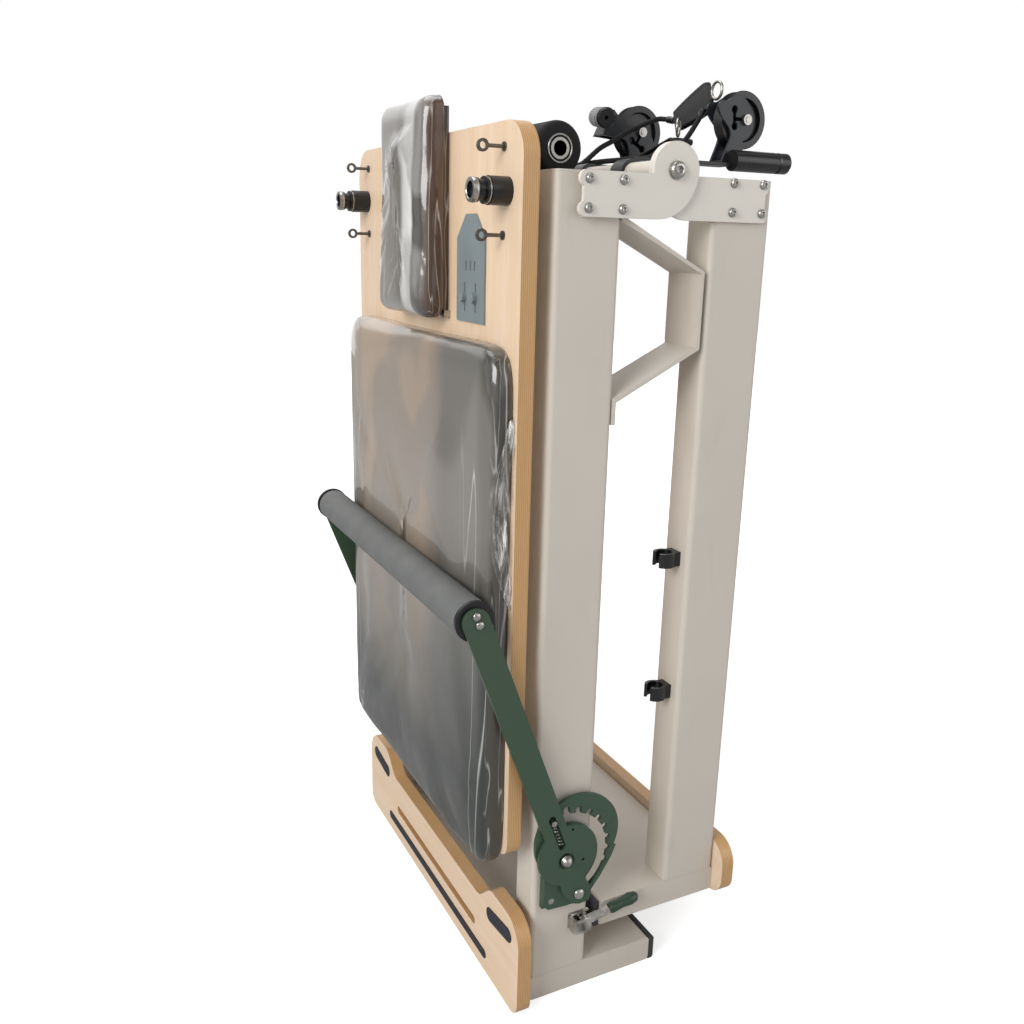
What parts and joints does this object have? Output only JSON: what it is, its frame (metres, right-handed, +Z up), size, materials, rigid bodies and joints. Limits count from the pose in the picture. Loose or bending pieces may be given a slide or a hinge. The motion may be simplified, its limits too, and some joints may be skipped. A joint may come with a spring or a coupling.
{
  "type": "folding pilates reformer",
  "caption": "Folding pilates reformer, stood on end: hinged frame halves, sliding padded carriage with headrest, turning foot bar, standing platform, stowed pulleys, ropes and hand loops.",
  "frame": {"origin": "middle of the part's bounding box in X and Y, on the floor under the foot half's leg", "axes": "+Z up along the folded halves, -X the side of the pads and the foot bar, Y across the frame, near side -Y"},
  "size_m": [0.5885, 0.696, 1.3971],
  "materials": {
    "frame_paint": "smooth satin powder coat",
    "black_rubber": "matt black rubber",
    "track_metal": "satin extrusion",
    "plywood": "clear satin lacquer over pale ply",
    "pad_cover": "taupe cover under clear film",
    "steel": "zinc plated",
    "green_paint": "dark green powder coat",
    "green_grip": "dark green grip",
    "black_paint": "satin charcoal powder coat",
    "black_plastic": "satin black moulding",
    "grey_plastic": "grey plate",
    "wheel_plastic": "dark tread",
    "foam": "closed-cell foam",
    "bar_foam": "grey foam sleeve",
    "webbing": "black webbing over padding",
    "rope": "black braided cord"
  },
  "bodies": {
    "foot_half": {"left_rails": "frame_paint", "left_rail_caps": "frame_paint", "foot_leg": "frame_paint", "foot_leg_rubber": "black_rubber", "left_tracks": "track_metal", "spring_bar": "frame_paint", "carriage_stops": "black_rubber", "mid_legs": "frame_paint", "standing_platform": "plywood", "platform_spacers": "black_rubber", "platform_grips": "black_rubber", "hinge_plates_left": "frame_paint", "hinge_cross_tube": "frame_paint", "hinge_hardware": "steel", "gear_plates": "green_paint", "gear_screws": "steel", "release_bracket": "steel", "stowage_rack": "black_paint", "foam_roll": "foam", "foam_roll_tube": "steel", "pulley_forks": "black_paint", "pulley_stubs": "black_plastic", "pulley_axles": "steel", "hand_loops": "webbing", "rope_hardware": "steel", "rope_near": "rope", "rope_far": "rope", "rope_hanks": "rope"},
    "release_lever_body": {"release_lever": "steel", "release_grip": "green_grip"},
    "pulley_near": {"pulley_wheel_near": "black_plastic"},
    "pulley_far": {"pulley_wheel_far": "black_plastic"},
    "head_half": {"right_rails": "frame_paint", "right_rail_caps": "frame_paint", "head_leg": "frame_paint", "head_leg_rubber": "black_rubber", "right_tracks": "track_metal", "head_board": "plywood", "hinge_plates_right": "frame_paint", "hinge_screws_right": "steel", "stow_clips": "black_plastic"},
    "carriage": {"carriage_board": "plywood", "carriage_pad": "pad_cover", "headrest_pin": "steel", "shoulder_posts": "black_plastic", "rope_hooks": "steel", "rope_plate": "grey_plastic", "wheel_brackets": "steel", "carriage_springs": "steel"},
    "headrest_body": {"headrest": "pad_cover", "headrest_base": "plywood"},
    "wheel_1": {"wheel_near_foot": "wheel_plastic"},
    "wheel_2": {"wheel_near_head": "wheel_plastic"},
    "wheel_3": {"wheel_far_foot": "wheel_plastic"},
    "wheel_4": {"wheel_far_head": "wheel_plastic"},
    "foot_bar": {"footbar_arms": "green_paint", "footbar_tube": "steel", "footbar_pad": "bar_foam", "footbar_caps": "black_plastic", "footbar_hardware": "steel"}
  },
  "joints": [
    {"name": "fold", "type": "hinge", "parent": "foot_half", "child": "head_half", "pos_m": [0.01875, 0, 1.256], "axis": [0, -1, 0], "range_deg": [0, 180]},
    {"name": "carriage_slide", "type": "slide", "parent": "foot_half", "child": "carriage", "axis": [0, 0, 1], "range_m": [0, 0.95]},
    {"name": "footbar_turn", "type": "hinge", "parent": "foot_half", "child": "foot_bar", "pos_m": [-0.10975, 0, 0.256], "axis": [0, -1, 0], "range_deg": [0, 96]},
    {"name": "headrest_tilt", "type": "hinge", "parent": "carriage", "child": "headrest_body", "pos_m": [-0.20805, 0, 1.056], "axis": [0, -1, 0], "range_deg": [0, 20]},
    {"name": "release", "type": "hinge", "parent": "foot_half", "child": "release_lever_body", "pos_m": [-0.06675, -0.328, 0.128], "axis": [0, -1, 0], "range_deg": [0, 30], "stiffness_Nm_per_rad": 0.4, "springref_deg": -20.05},
    {"name": "pulley_spin_near", "type": "hinge", "parent": "foot_half", "child": "pulley_near", "pos_m": [0.22125, -0.1955, 1.342], "axis": [0, 1, 0], "continuous": true},
    {"name": "pulley_spin_far", "type": "hinge", "parent": "foot_half", "child": "pulley_far", "pos_m": [0.16325, -0.007, 1.336], "axis": [0, 1, 0], "continuous": true},
    {"name": "wheel_spin_1", "type": "hinge", "parent": "carriage", "child": "wheel_1", "pos_m": [-0.14705, -0.2505, 0.36], "axis": [0, 1, 0], "range_deg": [0, 2480]},
    {"name": "wheel_spin_2", "type": "hinge", "parent": "carriage", "child": "wheel_2", "pos_m": [-0.14705, -0.2505, 1.19], "axis": [0, 1, 0], "range_deg": [0, 2480]},
    {"name": "wheel_spin_3", "type": "hinge", "parent": "carriage", "child": "wheel_3", "pos_m": [-0.14705, 0.2505, 0.36], "axis": [0, 1, 0], "range_deg": [0, 2480]},
    {"name": "wheel_spin_4", "type": "hinge", "parent": "carriage", "child": "wheel_4", "pos_m": [-0.14705, 0.2505, 1.19], "axis": [0, 1, 0], "range_deg": [0, 2480]}
  ],
  "couplings": [
    {"joint": "wheel_spin_1", "follows": "carriage_slide", "rad_per_m": 45.455},
    {"joint": "wheel_spin_2", "follows": "carriage_slide", "rad_per_m": 45.455},
    {"joint": "wheel_spin_3", "follows": "carriage_slide", "rad_per_m": 45.455},
    {"joint": "wheel_spin_4", "follows": "carriage_slide", "rad_per_m": 45.455}
  ]
}
